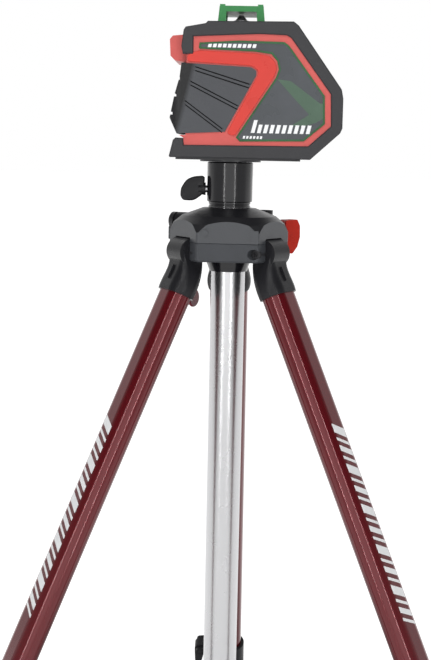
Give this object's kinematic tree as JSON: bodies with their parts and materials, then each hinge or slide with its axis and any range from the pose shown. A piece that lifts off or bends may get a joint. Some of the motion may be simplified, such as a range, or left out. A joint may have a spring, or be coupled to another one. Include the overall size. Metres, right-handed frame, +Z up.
{
  "type": "laser level on tripod",
  "caption": "Self-levelling line laser with a bumpered side-profile body and a prism cage on top, on a folding tripod with a geared column, telescoping legs and flip locks.",
  "frame": {"origin": "middle of the bounding box on the floor plane under the feet", "axes": "+Z up; the laser's side faces -Y, its front window faces +X, one leg points along +Y"},
  "size_m": [0.4398, 0.3884, 0.6385],
  "materials": {
    "hub_body": "satin",
    "hub_lower_body": "satin",
    "bush_plastic": "gloss",
    "fastener_steel": "satin",
    "bubble_body": "satin",
    "bubble_fluid": "gloss",
    "column_metal": "satin",
    "rack_plastic": "satin",
    "cap_rubber": "matte",
    "head_black": "gloss",
    "crank_metal": "satin",
    "knob_red": "gloss",
    "lever_red": "satin",
    "platform_black": "satin",
    "bumper_rubber": "matte",
    "housing_red": "satin",
    "grip_grey": "satin",
    "label_film": "gloss",
    "cage_green": "satin",
    "window_glass": "gloss",
    "battery_shell": "matte",
    "gimbal_metal": "satin",
    "pendulum_metal": "satin",
    "prism_glass": "gloss",
    "switch_black": "matte",
    "button_rubber": "matte",
    "casting_black": "satin",
    "tube_red": "gloss",
    "clamp_black": "satin",
    "clamp_lever_black": "satin",
    "inner_tube_metal": "satin",
    "foot_rubber": "matte"
  },
  "bodies": {
    "hub": {"hub_upper": "hub_body", "hub_lower": "hub_lower_body", "column_bush": "bush_plastic", "crank_bush": "bush_plastic", "hub_screws": "fastener_steel", "leg_pivot_bolts": "fastener_steel", "bubble_housing": "bubble_body", "bubble_vial": "bubble_fluid"},
    "column": {"column_tube": "column_metal", "column_rack": "rack_plastic", "column_end_cap": "cap_rubber", "head_barrel": "head_black"},
    "crank": {"pinion_shaft": "fastener_steel", "crank_arm": "crank_metal"},
    "crank_knob": {"crank_knob": "knob_red"},
    "column_lock": {"lock_lever": "lever_red"},
    "pan_head": {"pan_platform": "platform_black", "base_plate": "platform_black", "bumper": "bumper_rubber", "housing_near": "housing_red", "housing_far": "housing_red", "rear_grip": "grip_grey", "side_labels": "label_film", "prism_cage": "cage_green", "front_window": "window_glass", "battery_pack": "battery_shell"},
    "pan_knob": {"pan_knob": "clamp_black", "pan_screw": "fastener_steel"},
    "gimbal": {"gimbal_ring": "gimbal_metal"},
    "pendulum": {"pendulum_frame": "pendulum_metal", "prism": "prism_glass"},
    "power_switch": {"power_switch": "switch_black"},
    "mode_button": {"mode_button": "button_rubber"},
    "leg_rear_upper": {"leg_rear_casting": "casting_black", "leg_rear_upper_tube": "tube_red", "leg_rear_upper_clamp": "clamp_black"},
    "leg_rear_upper_lever": {"leg_rear_upper_lever": "clamp_lever_black"},
    "leg_rear_mid": {"leg_rear_mid_tube": "inner_tube_metal", "leg_rear_lower_clamp": "clamp_black"},
    "leg_rear_lower_lever": {"leg_rear_lower_lever": "clamp_lever_black"},
    "leg_rear_lower": {"leg_rear_lower_tube": "inner_tube_metal", "leg_rear_foot": "foot_rubber"},
    "leg_left_upper": {"leg_left_casting": "casting_black", "leg_left_upper_tube": "tube_red", "leg_left_upper_clamp": "clamp_black"},
    "leg_left_upper_lever": {"leg_left_upper_lever": "clamp_lever_black"},
    "leg_left_mid": {"leg_left_mid_tube": "inner_tube_metal", "leg_left_lower_clamp": "clamp_black"},
    "leg_left_lower_lever": {"leg_left_lower_lever": "clamp_lever_black"},
    "leg_left_lower": {"leg_left_lower_tube": "inner_tube_metal", "leg_left_foot": "foot_rubber"},
    "leg_right_upper": {"leg_right_casting": "casting_black", "leg_right_upper_tube": "tube_red", "leg_right_upper_clamp": "clamp_black"},
    "leg_right_upper_lever": {"leg_right_upper_lever": "clamp_lever_black"},
    "leg_right_mid": {"leg_right_mid_tube": "inner_tube_metal", "leg_right_lower_clamp": "clamp_black"},
    "leg_right_lower_lever": {"leg_right_lower_lever": "clamp_lever_black"},
    "leg_right_lower": {"leg_right_lower_tube": "inner_tube_metal", "leg_right_foot": "foot_rubber"}
  },
  "joints": [
    {"name": "column_lift", "type": "slide", "parent": "hub", "child": "column", "axis": [0, 0, 1], "range_m": [0, 0.26]},
    {"name": "crank_turn", "type": "hinge", "parent": "hub", "child": "crank", "pos_m": [0.00833, -0.04561, 0.48903], "axis": [-0.866, 0.5, 0], "range_deg": [0, 2482.83]},
    {"name": "crank_knob_spin", "type": "hinge", "parent": "crank", "child": "crank_knob", "pos_m": [0.01975, -0.02582, 0.43011], "axis": [-0.866, 0.5, 0], "continuous": true},
    {"name": "column_lock_turn", "type": "hinge", "parent": "hub", "child": "column_lock", "pos_m": [0, -0.06003, 0.48403], "axis": [0.866, 0.5, 0], "range_deg": [0, 90]},
    {"name": "pan", "type": "hinge", "parent": "column", "child": "pan_head", "pos_m": [0, -0.06003, 0.48403], "axis": [0, 0, 1], "continuous": true},
    {"name": "pan_knob_turn", "type": "hinge", "parent": "column", "child": "pan_knob", "pos_m": [0, -0.06003, 0.51383], "axis": [-1, 0, 0], "range_deg": [0, 270]},
    {"name": "gimbal_roll", "type": "hinge", "parent": "pan_head", "child": "gimbal", "pos_m": [0.0055, -0.06003, 0.60753], "axis": [1, 0, 0], "range_deg": [-3, 3]},
    {"name": "pendulum_pitch", "type": "hinge", "parent": "gimbal", "child": "pendulum", "pos_m": [0.0055, -0.06003, 0.60753], "axis": [0, 1, 0], "range_deg": [-3, 3]},
    {"name": "power_switch_slide", "type": "slide", "parent": "pan_head", "child": "power_switch", "axis": [1, 0, 0], "range_m": [0, 0.006]},
    {"name": "mode_button_press", "type": "slide", "parent": "pan_head", "child": "mode_button", "axis": [0, 0, -1], "range_m": [0, 0.0006], "stiffness_N_per_m": 1500, "springref_m": -0.0006},
    {"name": "leg_rear_fold", "type": "hinge", "parent": "hub", "child": "leg_rear_upper", "pos_m": [0, -0.02653, 0.47083], "axis": [-1, 0, 0], "range_deg": [0, 24.75]},
    {"name": "leg_rear_mid_slide", "type": "slide", "parent": "leg_rear_upper", "child": "leg_rear_mid", "axis": [0, 0.4187, -0.9081], "range_m": [0, 0.28]},
    {"name": "leg_rear_lower_slide", "type": "slide", "parent": "leg_rear_mid", "child": "leg_rear_lower", "axis": [0, 0.4187, -0.9081], "range_m": [0, 0.27]},
    {"name": "leg_rear_upper_lever_flip", "type": "hinge", "parent": "leg_rear_upper", "child": "leg_rear_upper_lever", "pos_m": [-0.0222, 0.13612, 0.10536], "axis": [0, 0.9081, 0.4187], "range_deg": [0, 110]},
    {"name": "leg_rear_lower_lever_flip", "type": "hinge", "parent": "leg_rear_mid", "child": "leg_rear_lower_lever", "pos_m": [-0.0202, 0.15538, 0.06358], "axis": [0, 0.9081, 0.4187], "range_deg": [0, 110]},
    {"name": "leg_left_fold", "type": "hinge", "parent": "hub", "child": "leg_left_upper", "pos_m": [-0.02901, -0.07678, 0.47083], "axis": [0.5, -0.866, 0], "range_deg": [0, 24.75]},
    {"name": "leg_left_mid_slide", "type": "slide", "parent": "leg_left_upper", "child": "leg_left_mid", "axis": [-0.3626, -0.2093, -0.9081], "range_m": [0, 0.28]},
    {"name": "leg_left_lower_slide", "type": "slide", "parent": "leg_left_mid", "child": "leg_left_lower", "axis": [-0.3626, -0.2093, -0.9081], "range_m": [0, 0.27]},
    {"name": "leg_left_upper_lever_flip", "type": "hinge", "parent": "leg_left_upper", "child": "leg_left_upper_lever", "pos_m": [-0.15877, -0.17733, 0.10536], "axis": [-0.7865, -0.4541, 0.4187], "range_deg": [0, 110]},
    {"name": "leg_left_lower_lever_flip", "type": "hinge", "parent": "leg_left_mid", "child": "leg_left_lower_lever", "pos_m": [-0.17645, -0.18523, 0.06358], "axis": [-0.7865, -0.4541, 0.4187], "range_deg": [0, 110]},
    {"name": "leg_right_fold", "type": "hinge", "parent": "hub", "child": "leg_right_upper", "pos_m": [0.02901, -0.07678, 0.47083], "axis": [0.5, 0.866, 0], "range_deg": [0, 24.75]},
    {"name": "leg_right_mid_slide", "type": "slide", "parent": "leg_right_upper", "child": "leg_right_mid", "axis": [0.3626, -0.2093, -0.9081], "range_m": [0, 0.28]},
    {"name": "leg_right_lower_slide", "type": "slide", "parent": "leg_right_mid", "child": "leg_right_lower", "axis": [0.3626, -0.2093, -0.9081], "range_m": [0, 0.27]},
    {"name": "leg_right_upper_lever_flip", "type": "hinge", "parent": "leg_right_upper", "child": "leg_right_upper_lever", "pos_m": [0.18097, -0.13888, 0.10536], "axis": [0.7865, -0.4541, 0.4187], "range_deg": [0, 110]},
    {"name": "leg_right_lower_lever_flip", "type": "hinge", "parent": "leg_right_mid", "child": "leg_right_lower_lever", "pos_m": [0.19665, -0.15024, 0.06358], "axis": [0.7865, -0.4541, 0.4187], "range_deg": [0, 110]}
  ],
  "couplings": [
    {"joint": "crank_turn", "follows": "column_lift", "rad_per_m": 166.67}
  ]
}
